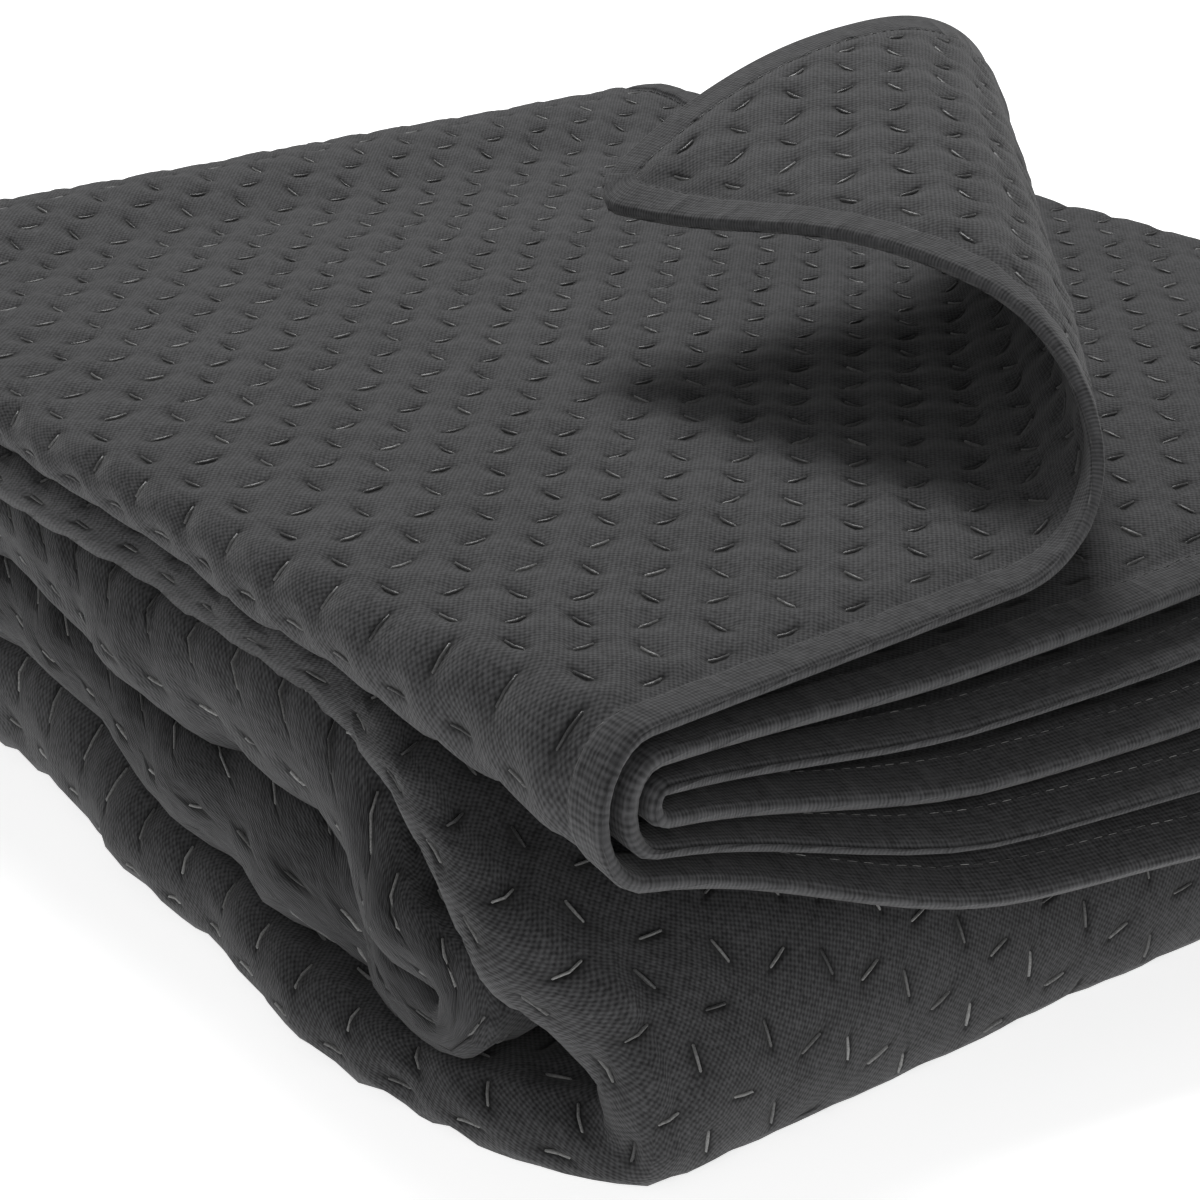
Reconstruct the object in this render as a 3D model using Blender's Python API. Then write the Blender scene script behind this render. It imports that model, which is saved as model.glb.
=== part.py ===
"""A quilted bedspread, folded into a close stack with one corner of its top layer turned back.

The cloth is folded lengthwise into a strip of six layers, and the strip crosswise into five passes.
X runs along the hems at the front, Y runs back along the folded left side, Z is up, all in metres.
"""

import bpy
import numpy as np

# Cloth
CLOTH = 0.0019  # thickness of the quilted cloth
HEM_THICKNESS = 0.0042
HEM_STEPS = (0.0, 0.0025, 0.010, 0.013)  # rim, full hem, and the step down to the single cloth
RIM_NARROWING = 0.2  # how far down the rounding of the rim is cut off
LAYERS = 6
HEM_LIFT = 0.0006  # the top layer rides up on its own side hem
HEM_LIFT_REACH = 0.12
CORNER_RADIUS = 0.020  # the cloth's rounded corners
COLOUR = (0.062, 0.062, 0.065, 1)
ROUGHNESS = 0.9

# Strip of six layers
STACK_WIDTH = 0.433
FLAP_REACH = 0.415  # from the left folds to the top layer's side hem
SECOND_FOLD_INSET = 0.003
INNER_EDGE_INSET = 0.012
FOLD_ROUNDNESS = 0.42  # depth of a left fold for each metre of the strip's thickness
MOST_FOLD_DEPTH = 0.014
INNER_DEPTHS = (0.6, 0.2)  # of the second and third left folds, against the outer one's
LEFT_REACH = 0.16  # how far in from the left side its unevenness is felt

# Front hems of the upper pass: each lower layer stands further out and hangs a little lower
FAN_OUT = 0.0092
FAN_OUT_REACH = 0.20
FAN_DROP = 0.0052
FAN_DROP_REACH = 0.065
FAN_DEPTH = 0.12

# Turned-back corner of the top layer
CURL_START_X = 0.135  # where the front hem lifts off
CURL_DIRECTION = np.radians(50.6)  # from +X
CURL_GROWTH = 1.84  # wider towards the back, for each metre
CURL_MIDDLE = 0.15
CURL_STEP = 0.052
CURL_ANGLES = np.radians((0.0, 102.0, 173.0, 191.0, 207.0, 150.0))  # slope after each step
CURL_BLUR = 0.014
CURL_COUNT = 400  # steps in which its profile is summed
SAG = 0.007  # the turned corner's front hem droops before its tip
SAG_X = 0.365
SAG_REACH = 0.055
SAG_DEPTH = 0.10

# The wrap at the front, which stands further forward towards the right
LEAN = 0.06
LEAN_DEPTH = 0.08
LEAN_HEIGHT = 0.085

# Unevenness of the whole stack
SWAY = 0.0024
SWAY_LENGTH = 0.55
SWAY_PHASE = 0.9

# Fineness of the mesh
LAYER_X = (0.07, 0.20)
FLAT_PARTS = 3  # of the top layer, from its left fold to the line it curls from
CURL_PARTS = 12  # from that line to the side hem
NARROWEST_CURL = 0.03
FLOOR_BAND = 0.0011  # cloth this near the floor is pressed flat on it

# The two faces of the strip where it passes, in millimetres. The columns are the place of the face
# that carries the top layer, the place of the face that carries the bottom layer, and how far the
# left folds stand in (or out, if less than 0): top y, top z, bottom y, bottom z, left.
UPPER_PASS = (
    (0, 123, 0, 82, 0),
    (40, 124.5, 40, 93.5, -1),
    (70, 124.6, 70, 98, -2),
    (100, 124.5, 100, 101.4, -2),
    (150, 124, 150, 105, -1),
    (200, 124, 200, 107.8, 0),
    (235, 124.3, 235, 109.7, 1),
    (270, 124.7, 270, 111.2, 1),
    (335, 125.2, 335, 111.5, -1),
    (400, 125, 400, 110.6, -2),
    (490, 124, 490, 109.8, 0),
)
SECOND_PASS = (
    (490, 92.6, 490, 107.2, 0),
    (400, 94, 400, 108.5, 3),
    (270, 95, 270, 109.3, -2),
    (200, 91.8, 200, 106.3, 2),
    (100, 84.5, 100, 99.2, 0),
    (74, 79, 72, 91.5, -4),
    (54, 66, 47, 79, -8),
    (36, 46, 17, 62, -9),
    (24, 31, 0, 44, 4),
    (16, 21, -7, 22, 8),
    (16, 16.5, -3, 2, 9),
)
BOTTOM_PASS = (
    (36, 16.5, 26, 0, -6),
    (72, 16.5, 72, 0, -17),
    (100, 18.6, 100, 0, -16),
    (200, 26.5, 200, 0, -9),
    (270, 37.5, 270, 0, -1),
    (400, 32.5, 400, 0, -2),
    (490, 27, 490, 0, 0),
)
FOURTH_PASS = (
    (490, 29.5, 490, 56, 0),
    (400, 34.5, 400, 60, -3),
    (270, 39.5, 270, 63.5, 3),
    (200, 28.5, 200, 53.5, -4),
    (100, 20.6, 100, 49, -6),
    (72, 18.4, 72, 36, -8),
    (56, 17.9, 56, 33.3, -9),
)
THIRD_PASS = (
    (56, 50.8, 56, 35.4, -9),
    (72, 57, 72, 38, -7),
    (100, 82, 100, 51, -5),
    (200, 89.8, 200, 55.5, -3),
    (270, 93, 270, 65.5, 2),
    (400, 92, 400, 62, 2),
    (500, 90.6, 500, 58, 0),
)
TURN_ROWS = 3  # rows added round each tight turn
MM = 0.001


def turn_rows(before, after, outward):
    """The rows round a tight turn between two passes, whose pivot lies between their near faces."""
    before, after = np.array(before, float), np.array(after, float)
    pivot = np.array([before[0], (before[[1, 3]].mean() + after[[1, 3]].mean()) / 2])
    rows = []
    for i in range(1, TURN_ROWS + 1):
        share = i / (TURN_ROWS + 1)
        angle = np.pi * share
        row = []
        for z in (1, 3):
            radius = (1 - share) * abs(before[z] - pivot[1]) + share * abs(after[z] - pivot[1])
            height = np.sign(before[z] - pivot[1]) * radius * np.cos(angle)
            row += [pivot[0] + outward * radius * np.sin(angle), pivot[1] + height]
        rows.append(row + [(1 - share) * before[4] + share * after[4]])
    return rows


def strip_rows():
    """All rows in order along the strip, from the front hem to the other hem, in metres."""
    rows = list(UPPER_PASS)
    rows += turn_rows(UPPER_PASS[-1], SECOND_PASS[0], 1)
    rows += list(SECOND_PASS) + list(BOTTOM_PASS)
    rows += turn_rows(BOTTOM_PASS[-1], FOURTH_PASS[0], 1)
    rows += list(FOURTH_PASS)
    rows += turn_rows(FOURTH_PASS[-1], THIRD_PASS[0], -1)
    rows += list(THIRD_PASS)
    return np.array(rows, float) * MM


def run_length(points):
    steps = np.linalg.norm(np.diff(points, axis=0), axis=1)
    return np.concatenate([[0.0], np.cumsum(steps)])


def smooth_curve(at, values, wanted):
    """A smooth curve through the rows of values, read at the wanted places."""
    slopes = np.diff(values, axis=0) / np.diff(at)[:, None]
    spans = np.diff(at)[:, None]
    inner = (slopes[:-1] * spans[1:] + slopes[1:] * spans[:-1]) / (spans[:-1] + spans[1:])
    tangents = np.vstack([slopes[:1], inner, slopes[-1:]])
    i = np.clip(np.searchsorted(at, wanted, side="right") - 1, 0, len(at) - 2)
    span = (at[i + 1] - at[i])[:, None]
    s = (wanted - at[i])[:, None] / span
    start = (1 + 2 * s) * (1 - s) ** 2 * values[i] + s * (1 - s) ** 2 * span * tangents[i]
    end = s**2 * (3 - 2 * s) * values[i + 1] + s**2 * (s - 1) * span * tangents[i + 1]
    return start + end


def middle_line(rows):
    return (rows[:, 0:2] + rows[:, 2:4]) / 2


def stations(rows):
    """Where the strip is cut into sections: at each row, and at the steps of both end hems."""
    at = run_length(middle_line(rows))
    hem = np.array(HEM_STEPS)
    return at, np.concatenate([hem, at[1:-1], at[-1] - hem[::-1]])


def left_fold(first, last, pitches, depth, count):
    """Samples round a left fold, from rank first to rank last."""
    angles = np.pi * np.arange(1, count + 1) / (count + 1)
    ranks = (first + last) / 2 - (last - first) / 2 * np.cos(angles)
    return [(0, depth * (1 - np.sin(a)), pitches, 0, r) for a, r in zip(angles, ranks)]


def layer(rank, pitches, depth, right):
    """Samples along one layer, from its left fold to its right end."""
    runs = [(x, 0, 0, 0, rank) for x in LAYER_X]
    return [(0, depth, pitches, 0, rank)] + runs + [(right, 0, -0.5, 0, rank)]


def top_layer():
    """Samples along the top layer, from its left fold to its side hem."""
    flat = [(0, 1 - k / FLAT_PARTS, 0, k / FLAT_PARTS, 0) for k in range(FLAT_PARTS)]
    hem = [FLAP_REACH - d for d in reversed(HEM_STEPS)]
    curled = [(hem[0] * k / CURL_PARTS, 0, 0, 1 - k / CURL_PARTS, 0) for k in range(CURL_PARTS)]
    return flat + curled + [(x, 0, 0, 0, 0) for x in hem]


def section():
    """The mid-line of the six layers, from the top layer's side hem to the other side hem.

    The columns are x, shares of the left fold's depth, of a layer's pitch and of the place where
    the corner starts to curl, which are added to x, and the layer's rank from the top.
    """
    second_right = STACK_WIDTH - SECOND_FOLD_INSET
    second, third = INNER_DEPTHS
    samples = top_layer()[::-1]
    samples += left_fold(0, 5, 0, 1, 4)
    samples += layer(5, 0, 1, STACK_WIDTH)
    samples += [(STACK_WIDTH, 0, 0, 0, 4.5)]
    samples += layer(4, 1, second, STACK_WIDTH)[::-1]
    samples += left_fold(4, 1, 1, second, 3)
    samples += layer(1, 1, second, second_right)
    samples += [(second_right, 0, 0, 0, 1.5)]
    samples += layer(2, 2, third, second_right)[::-1]
    samples += left_fold(2, 3, 2, third, 1)
    samples += layer(3, 2, third, STACK_WIDTH - INNER_EDGE_INSET)
    return np.array(samples, float)


def smooth_step(value):
    value = np.clip(value, 0.0, 1.0)
    return value * value * (3 - 2 * value)


def curl_profile():
    """The turned-back corner seen along its fold: the way forward and up after each length."""
    length = CURL_STEP * (len(CURL_ANGLES) - 1)
    at = np.linspace(0, length, CURL_COUNT)
    slope = np.interp(at, np.arange(len(CURL_ANGLES)) * CURL_STEP, CURL_ANGLES)
    reach = int(CURL_BLUR / length * CURL_COUNT)
    weights = np.hanning(2 * reach + 1)
    slope = np.convolve(np.pad(slope, reach, mode="edge"), weights / weights.sum(), "valid")
    step = at[1] - at[0]
    forward = np.concatenate([[0], np.cumsum(np.cos(slope[:-1]))]) * step
    up = np.concatenate([[0], np.cumsum(np.sin(slope[:-1]))]) * step
    return at, forward, up


def curl(x, y, z):
    """Turns back the corner of the top layer, about a line that starts at the front hem."""
    along = np.array([np.cos(CURL_DIRECTION), np.sin(CURL_DIRECTION)])
    across = np.array([along[1], -along[0]])
    past = (x - CURL_START_X) * across[0] + y * across[1]
    beside = (x - CURL_START_X) * along[0] + y * along[1]
    size = 1 + CURL_GROWTH * (beside - CURL_MIDDLE)
    at, forward, up = curl_profile()
    lifted = np.maximum(past, 0) / size
    reach = np.where(past > 0, np.interp(lifted, at, forward) * size, past)
    rise = np.where(past > 0, np.interp(lifted, at, up) * size, 0)
    new_x = CURL_START_X + beside * along[0] + reach * across[0]
    new_y = beside * along[1] + reach * across[1]
    return new_x, new_y, z + rise


def round_corner(x, y):
    """Draws the front right corner of the top layer in to a rounded one."""
    dx = np.maximum(x - (FLAP_REACH - CORNER_RADIUS), 0)
    dy = np.maximum(CORNER_RADIUS - y, 0)
    most = np.maximum(dx, dy)
    scale = np.where((dx > 0) & (dy > 0), most / np.maximum(np.hypot(dx, dy), 1e-9), 1.0)
    return x - dx * (1 - scale), y + dy * (1 - scale)


def sag(x, y):
    """How far the turned corner's front hem droops, by where it would lie if it were flat."""
    return SAG * np.exp(-(((x - SAG_X) / SAG_REACH) ** 2)) * smooth_step(1 - y / SAG_DEPTH)


def middle_surface(samples, rows, along, upper):
    """The cloth's mid-surface as a grid of points, sections by stations."""
    top, bottom, left = rows[:, 0:2], rows[:, 2:4], rows[:, 4]
    thick = np.linalg.norm(top - bottom, axis=1)
    pitch = (thick - CLOTH) / (LAYERS - 1)
    depth = np.minimum(FOLD_ROUNDNESS * thick, MOST_FOLD_DEPTH)
    x, depths, pitches, starts, rank = (samples[:, [i]] for i in range(5))
    start = CURL_START_X + top[:, 0] / np.tan(CURL_DIRECTION)
    start = np.minimum(np.where(upper, start, FLAP_REACH), FLAP_REACH - NARROWEST_CURL)
    x = x + depths * depth + pitches * pitch + starts * start
    down = (CLOTH / 2 + rank * pitch) / thick
    y = top[:, 0] + down * (bottom[:, 0] - top[:, 0])
    z = top[:, 1] + down * (bottom[:, 1] - top[:, 1])
    fan = np.where(upper, np.clip(1 - along / FAN_DEPTH, 0, 1) ** 2, 0)
    y = y - rank * fan * FAN_OUT * smooth_step(x / FAN_OUT_REACH)
    z = z - rank * fan * FAN_DROP * smooth_step(x / FAN_DROP_REACH)
    sway = SWAY * np.sin(2 * np.pi * y / SWAY_LENGTH + SWAY_PHASE) * (x / STACK_WIDTH - 0.5)
    z = z + sway * z / (UPPER_PASS[0][1] * MM)
    x = x + left * np.clip(1 - x / LEFT_REACH, 0, 1) ** 2
    flap = upper & (rank == 0)
    z = z + flap * HEM_LIFT * smooth_step((x - FLAP_REACH + HEM_LIFT_REACH) / HEM_LIFT_REACH)
    low = smooth_step(1 - y / LEAN_DEPTH) * smooth_step(1 - z / LEAN_HEIGHT)
    y = y - ~upper * LEAN * x * low
    flat_x, flat_y = round_corner(x, y)
    curled_x, curled_y, curled_z = curl(flat_x, flat_y, z)
    turned = (curled_x, curled_y, curled_z - flap * sag(x, y))
    return np.stack([np.where(flap, new, old) for new, old in zip(turned, (x, y, z))], axis=-1)


def hem_thickness(distance):
    """Thickness of the cloth at a distance from a hemmed edge: rounded rim, hem, then cloth."""
    rim = np.sqrt(np.clip(distance / HEM_STEPS[1], RIM_NARROWING, 1))
    inside = smooth_step((distance - HEM_STEPS[2]) / (HEM_STEPS[3] - HEM_STEPS[2]))
    return (1 - inside) * HEM_THICKNESS * rim + inside * CLOTH


def normals(grid):
    """Unit normals of a grid of points, from its neighbours."""
    du = np.gradient(grid, axis=0)
    dv = np.gradient(grid, axis=1)
    normal = np.cross(du, dv)
    return normal / np.maximum(np.linalg.norm(normal, axis=2, keepdims=True), 1e-12)


def cloth_faces(middle):
    """Triangles of both faces of the sheet, and quads of its rim all round.

    Every layer's squares are cut along the same diagonal in plan, so that close layers stay apart.
    """
    columns, rows = middle.shape[:2]

    def index(side, i, j):
        return (side * columns + i) * rows + j

    faces = []
    for i in range(columns - 1):
        for j in range(rows - 1):
            rightward = middle[i + 1, j, 0] > middle[i, j, 0]
            backward = middle[i, j + 1, 1] > middle[i, j, 1]
            quad = [(i, j), (i + 1, j), (i + 1, j + 1), (i, j + 1)]
            if rightward != backward:
                quad = quad[1:] + quad[:1]
            for corners in (quad[:3], [quad[0], quad[2], quad[3]]):
                faces.append([index(0, *p) for p in corners])
                faces.append([index(1, *p) for p in reversed(corners)])
    rim = [(i, 0) for i in range(columns)]
    rim += [(columns - 1, j) for j in range(1, rows)]
    rim += [(i, rows - 1) for i in range(columns - 2, -1, -1)]
    rim += [(0, j) for j in range(rows - 2, 0, -1)]
    for a, b in zip(rim, rim[1:] + rim[:1]):
        faces.append([index(0, *b), index(0, *a), index(1, *a), index(1, *b)])
    return faces


def cloth_shape():
    """Points and faces of the folded sheet, and the grid of its mid-surface."""
    rows = strip_rows()
    at, along = stations(rows)
    read = smooth_curve(at, rows, along)
    samples = section()
    upper = along < at[len(UPPER_PASS) - 1]
    middle = middle_surface(samples, read, along, upper)
    normal = normals(middle)
    end = np.minimum(along, along[-1] - along)
    thickness = np.broadcast_to(hem_thickness(end), middle.shape[:2]).copy()
    side = FLAP_REACH - samples[:, [0]] + np.where(samples[:, [4]] == 0, 0, STACK_WIDTH)
    flap_hem = np.where(upper, hem_thickness(side), CLOTH)
    raised = np.maximum(flap_hem - thickness, 0)
    outer = middle + normal * (thickness / 2)[:, :, None]
    inner = middle - normal * (thickness / 2 + raised)[:, :, None]
    points = np.concatenate([outer.reshape(-1, 3), inner.reshape(-1, 3)])
    points[points[:, 2] < FLOOR_BAND, 2] = 0
    shift = (points.max(0) + points.min(0)) / 2
    points[:, :2] -= shift[:2]
    return points, cloth_faces(middle), middle


def cloth_material():
    material = bpy.data.materials.new("charcoal cloth")
    material.use_nodes = True
    shader = material.node_tree.nodes["Principled BSDF"]
    shader.inputs["Base Color"].default_value = COLOUR
    shader.inputs["Roughness"].default_value = ROUGHNESS
    shader.inputs["Metallic"].default_value = 0.0
    return material


def bedspread():
    points, faces, _ = cloth_shape()
    mesh = bpy.data.meshes.new("bedspread")
    mesh.from_pydata(points.tolist(), [], faces)
    mesh.validate()
    mesh.shade_smooth()
    mesh.materials.append(cloth_material())
    piece = bpy.data.objects.new("bedspread", mesh)
    bpy.context.scene.collection.objects.link(piece)
    return piece


for old in list(bpy.data.objects):
    bpy.data.objects.remove(old)
bedspread()
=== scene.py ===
import math
import bpy
import numpy as np
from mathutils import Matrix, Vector


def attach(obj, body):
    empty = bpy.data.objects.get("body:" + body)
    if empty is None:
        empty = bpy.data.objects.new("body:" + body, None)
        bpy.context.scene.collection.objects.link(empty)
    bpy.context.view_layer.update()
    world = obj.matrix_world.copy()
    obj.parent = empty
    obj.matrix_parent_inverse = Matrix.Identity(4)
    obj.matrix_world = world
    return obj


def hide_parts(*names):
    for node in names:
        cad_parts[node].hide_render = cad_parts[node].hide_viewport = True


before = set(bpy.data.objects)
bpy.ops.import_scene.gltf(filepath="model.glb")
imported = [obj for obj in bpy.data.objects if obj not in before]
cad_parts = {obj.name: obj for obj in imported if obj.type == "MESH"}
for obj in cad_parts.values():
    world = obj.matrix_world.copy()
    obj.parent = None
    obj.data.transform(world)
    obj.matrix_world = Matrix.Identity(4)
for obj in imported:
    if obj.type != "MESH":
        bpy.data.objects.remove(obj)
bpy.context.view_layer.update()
mm = 0.001
print("frame loaded")

# The folded strip is the solid's own, with finer sections. Lengths are metres, tables millimetres.
cloth = {
    "thickness": 0.0019,
    "hemThickness": 0.0042,
    "hemSteps": (0, 0.3, 0.8, 1.5, 2.4, 3.6, 5.2, 7, 8.6, 9.8, 10.6, 11.4, 12.4, 13.6),  # mm from the edge
    "hemEnd": 0.0098,  # where the hem's step down to the single cloth starts, and its width
    "hemSlope": 0.0022,
    "seam": (0.0113, 0.0009, 0.0004),  # the line sunk by the hem's stitching: place, width and depth
    "hemRipple": (0.018, 0.00035),  # length and height of the waves drawn up in the hem
    "layers": 6,
    "stackWidth": 0.433,
    "flapReach": 0.415,
    "secondFoldInset": 0.003,
    "innerEdgeInset": 0.012,
    "cornerRadius": 0.020,
    "foldRoundness": 0.42,
    "mostFoldDepth": 0.014,
    "innerDepths": (0.6, 0.2),
    "leftReach": 0.16,
    "fanOut": 0.0092,
    "fanOutReach": 0.20,
    "fanDrop": 0.0058,
    "fanDropReach": 0.115,
    "fanDepth": 0.12,
    "hemLift": 0.0006,
    "hemLiftReach": 0.12,
    "sway": 0.0024,
    "swayLength": 0.55,
    "swayPhase": 0.9,
    "lean": 0.06,
    "leanDepth": 0.08,
    "leanHeight": 0.085,
    "floorBand": 0.0011,
}

# The turned-back corner of the top layer
corner = {
    "startX": 0.135,
    "direction": math.radians(50.6),
    "growth": 1.84,
    "middle": 0.15,
    "step": 0.052,
    "slopes": (0, 102, 173, 191, 207, 150),  # degrees after each step
    "blur": 0.014,
    "profileSteps": 400,
    "sag": 0.007,  # the corner's front hem droops before its tip
    "sagX": 0.365,
    "sagReach": 0.055,
    "sagDepth": 0.10,
}

# Rows along the strip: top y, top z, bottom y, bottom z, left side in
upperPass = (
    (0, 123, 0, 82, 0), (40, 124.5, 40, 93.5, -1), (70, 124.6, 70, 98, -2), (100, 124.5, 100, 101.4, -2),
    (150, 124, 150, 105, -1), (200, 124, 200, 107.8, 0), (235, 124.3, 235, 109.7, 1),
    (270, 124.7, 270, 111.2, 1), (335, 125.2, 335, 111.5, -1), (400, 125, 400, 110.6, -2),
    (490, 124, 490, 109.8, 0),
)
secondPass = (
    (490, 92.6, 490, 107.2, 0), (400, 94, 400, 108.5, 3), (270, 95, 270, 109.3, -2),
    (200, 91.8, 200, 106.3, 2), (100, 84.5, 100, 99.2, 0), (74, 79, 72, 91.5, -4), (54, 66, 47, 79, -8),
    (36, 46, 17, 62, -9), (24, 31, 0, 44, 4), (16, 21, -7, 22, 8), (16, 16.5, -3, 2, 9),
)
bottomPass = (
    (36, 16.5, 26, 0, -6), (72, 16.5, 72, 0, -17), (100, 18.6, 100, 0, -16), (200, 26.5, 200, 0, -9),
    (270, 37.5, 270, 0, -1), (400, 32.5, 400, 0, -2), (490, 27, 490, 0, 0),
)
fourthPass = (
    (490, 29.5, 490, 56, 0), (400, 34.5, 400, 60, -3), (270, 39.5, 270, 63.5, 3),
    (200, 28.5, 200, 53.5, -4), (100, 20.6, 100, 49, -6), (72, 18.4, 72, 36, -8), (56, 17.9, 56, 33.3, -9),
)
thirdPass = (
    (56, 50.8, 56, 35.4, -9), (72, 57, 72, 38, -7), (100, 82, 100, 51, -5), (200, 89.8, 200, 55.5, -3),
    (270, 93, 270, 65.5, 2), (400, 92, 400, 62, 2), (500, 90.6, 500, 58, 0),
)

# How finely each part of the cloth is meshed, in metres
fineness = {
    "topX": 0.0036,
    "bottomX": 0.0068,
    "secondX": 0.0056,
    "innerX": 0.012,
    "upperY": 0.0036,
    "wrapY": 0.0045,
    "turnY": 0.0035,
    "hiddenY": 0.0075,
    "folds": (11, 7, 5, 4),  # samples round the outer, second and third left folds and the right folds
}

quilting = {
    "pitch": 0.0232,
    "stitch": 0.0078,
    "puff": 0.0023,  # how far the cloth swells between stitches
    "depth": 1.3,  # of a hollow, against the swelling
    "dimple": (0.0064, 0.0040),  # half length and half width of the hollow round a stitch
    "uneven": 0.22,
    "clearOfHem": 0.0115,  # from the edge to the first swelling, and how far it takes to grow
    "growsOver": 0.007,
    "drift": 0.0012,
    "firstStitch": (0.0195, 0.0175),
    "threadRadius": 0.00092,
    "threadFlatness": 0.45,
    "sink": 0.0009,  # how far a stitch's ends dive into the cloth
    "hemStitch": 0.0032,
    "hemGap": 0.0011,
    "hemThreadRadius": 0.00020,
    "hemLine": 0.0112,
    "aboveFloor": 0.002,  # no stitch is made lower than this, or nearer to an edge than the next
    "clearOfEdge": 0.009,
    "tones": (0.06, 0.4, 0.75),  # the darkest thread, its spread, and what the lower cloth adds
}


def turnRows(before, after, outward):
    before, after = np.array(before, float), np.array(after, float)
    pivot = np.array([before[0], (before[[1, 3]].mean() + after[[1, 3]].mean()) / 2])
    rows = []
    for share in (0.25, 0.5, 0.75):
        row = []
        for z in (1, 3):
            radius = (1 - share) * abs(before[z] - pivot[1]) + share * abs(after[z] - pivot[1])
            height = np.sign(before[z] - pivot[1]) * radius * math.cos(math.pi * share)
            row += [pivot[0] + outward * radius * math.sin(math.pi * share), pivot[1] + height]
        rows.append(row + [(1 - share) * before[4] + share * after[4]])
    return rows


def stripRows():
    rows = list(upperPass) + turnRows(upperPass[-1], secondPass[0], 1)
    rows += list(secondPass) + list(bottomPass) + turnRows(bottomPass[-1], fourthPass[0], 1)
    rows += list(fourthPass) + turnRows(fourthPass[-1], thirdPass[0], -1) + list(thirdPass)
    return np.array(rows, float) * mm


def smoothCurve(at, values, wanted):
    slopes = np.diff(values, axis=0) / np.diff(at)[:, None]
    spans = np.diff(at)[:, None]
    inner = (slopes[:-1] * spans[1:] + slopes[1:] * spans[:-1]) / (spans[:-1] + spans[1:])
    tangents = np.vstack([slopes[:1], inner, slopes[-1:]])
    i = np.clip(np.searchsorted(at, wanted, side="right") - 1, 0, len(at) - 2)
    span = (at[i + 1] - at[i])[:, None]
    s = (wanted - at[i])[:, None] / span
    start = (1 + 2 * s) * (1 - s) ** 2 * values[i] + s * (1 - s) ** 2 * span * tangents[i]
    return start + s**2 * (3 - 2 * s) * values[i + 1] + s**2 * (s - 1) * span * tangents[i + 1]


def smoothStep(value):
    value = np.clip(value, 0.0, 1.0)
    return value * value * (3 - 2 * value)


def evenly(low, high, step):
    return np.linspace(low, high, max(2, int(round(abs(high - low) / step)) + 1))


def sectionSamples():
    # x, shares of the fold depth and of the layer pitch, the rank from the top, and the place
    hem = np.array(cloth["hemSteps"]) * mm
    second, third = cloth["innerDepths"]
    width = cloth["stackWidth"]
    secondRight = width - cloth["secondFoldInset"]
    edge = width - cloth["innerEdgeInset"]
    rows = []

    def run(xs, rank, pitches, depth, place, right):
        for x in xs:
            near = 1 - smoothStep(x / 0.05)
            end = smoothStep((x - right + 0.03) / 0.03) if right else 0
            rows.append((x, depth * near, pitches * near - 0.5 * end, rank, place))

    def turn(right, first, last, pitches, depth, count, place):
        for k in range(1, count + 1):
            angle = math.pi * k / (count + 1)
            rank = (first + last) / 2 + (first - last) / 2 * math.cos(angle)
            if right:
                rows.append((right, 0, 0.5 * math.sin(angle) - 0.5, rank, place))
            else:
                rows.append((0, depth * (1 - math.sin(angle)), pitches, rank, place))

    outer, middle, inner, right = fineness["folds"]
    reach = cloth["flapReach"]
    top = np.concatenate([reach - hem, evenly(reach - hem[-1], 0, fineness["topX"])[1:]])
    run(top, 0, 0, 1, 0, None)
    turn(None, 0, 5, 0, 1, outer, 6)
    run(evenly(0, width, fineness["bottomX"]), 5, 0, 1, 5, width)
    turn(width, 5, 4, 0, 0, right, 8)
    run(evenly(width, 0, fineness["innerX"]), 4, 1, second, 4, width)
    turn(None, 4, 1, 1, second, middle, 7)
    run(evenly(0, secondRight, fineness["secondX"]), 1, 1, second, 1, secondRight)
    turn(secondRight, 1, 2, 0, 0, right, 8)
    run(evenly(secondRight, 0, fineness["innerX"]), 2, 2, third, 2, secondRight)
    turn(None, 2, 3, 2, third, inner, 9)
    last = np.concatenate([evenly(0, edge - hem[-1], fineness["innerX"])[:-1], edge - hem[::-1]])
    run(last, 3, 2, third, 3, edge)
    return np.array(rows)


def stripStations(at):
    # Sections along the strip: close together where the cloth shows, wider apart inside
    hem = np.array(cloth["hemSteps"]) * mm
    marks = [hem[-1], at[10], at[14], at[18], at[26], at[31], at[35], at[39], at[47], at[-1] - hem[-1]]
    steps = ["upperY", "turnY", "hiddenY", "wrapY", "hiddenY", "turnY", "hiddenY", "wrapY", "hiddenY"]
    parts = [hem[:-1]]
    for low, high, step in zip(marks, marks[1:], steps):
        parts.append(evenly(low, high, fineness[step])[:-1])
    return np.concatenate(parts + [at[-1] - hem[::-1]])


def pastCurlLine(x, y):
    return (x - corner["startX"]) * math.sin(corner["direction"]) - y * math.cos(corner["direction"])


def curlProfile():
    length = corner["step"] * (len(corner["slopes"]) - 1)
    at = np.linspace(0, length, corner["profileSteps"])
    slopes = np.radians(corner["slopes"])
    slope = np.interp(at, np.arange(len(slopes)) * corner["step"], slopes)
    reach = int(corner["blur"] / length * len(at))
    weights = np.hanning(2 * reach + 1)
    slope = np.convolve(np.pad(slope, reach, mode="edge"), weights / weights.sum(), "valid")
    forward = np.concatenate([[0], np.cumsum(np.cos(slope[:-1]))]) * (at[1] - at[0])
    up = np.concatenate([[0], np.cumsum(np.sin(slope[:-1]))]) * (at[1] - at[0])
    return at, forward, up


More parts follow.
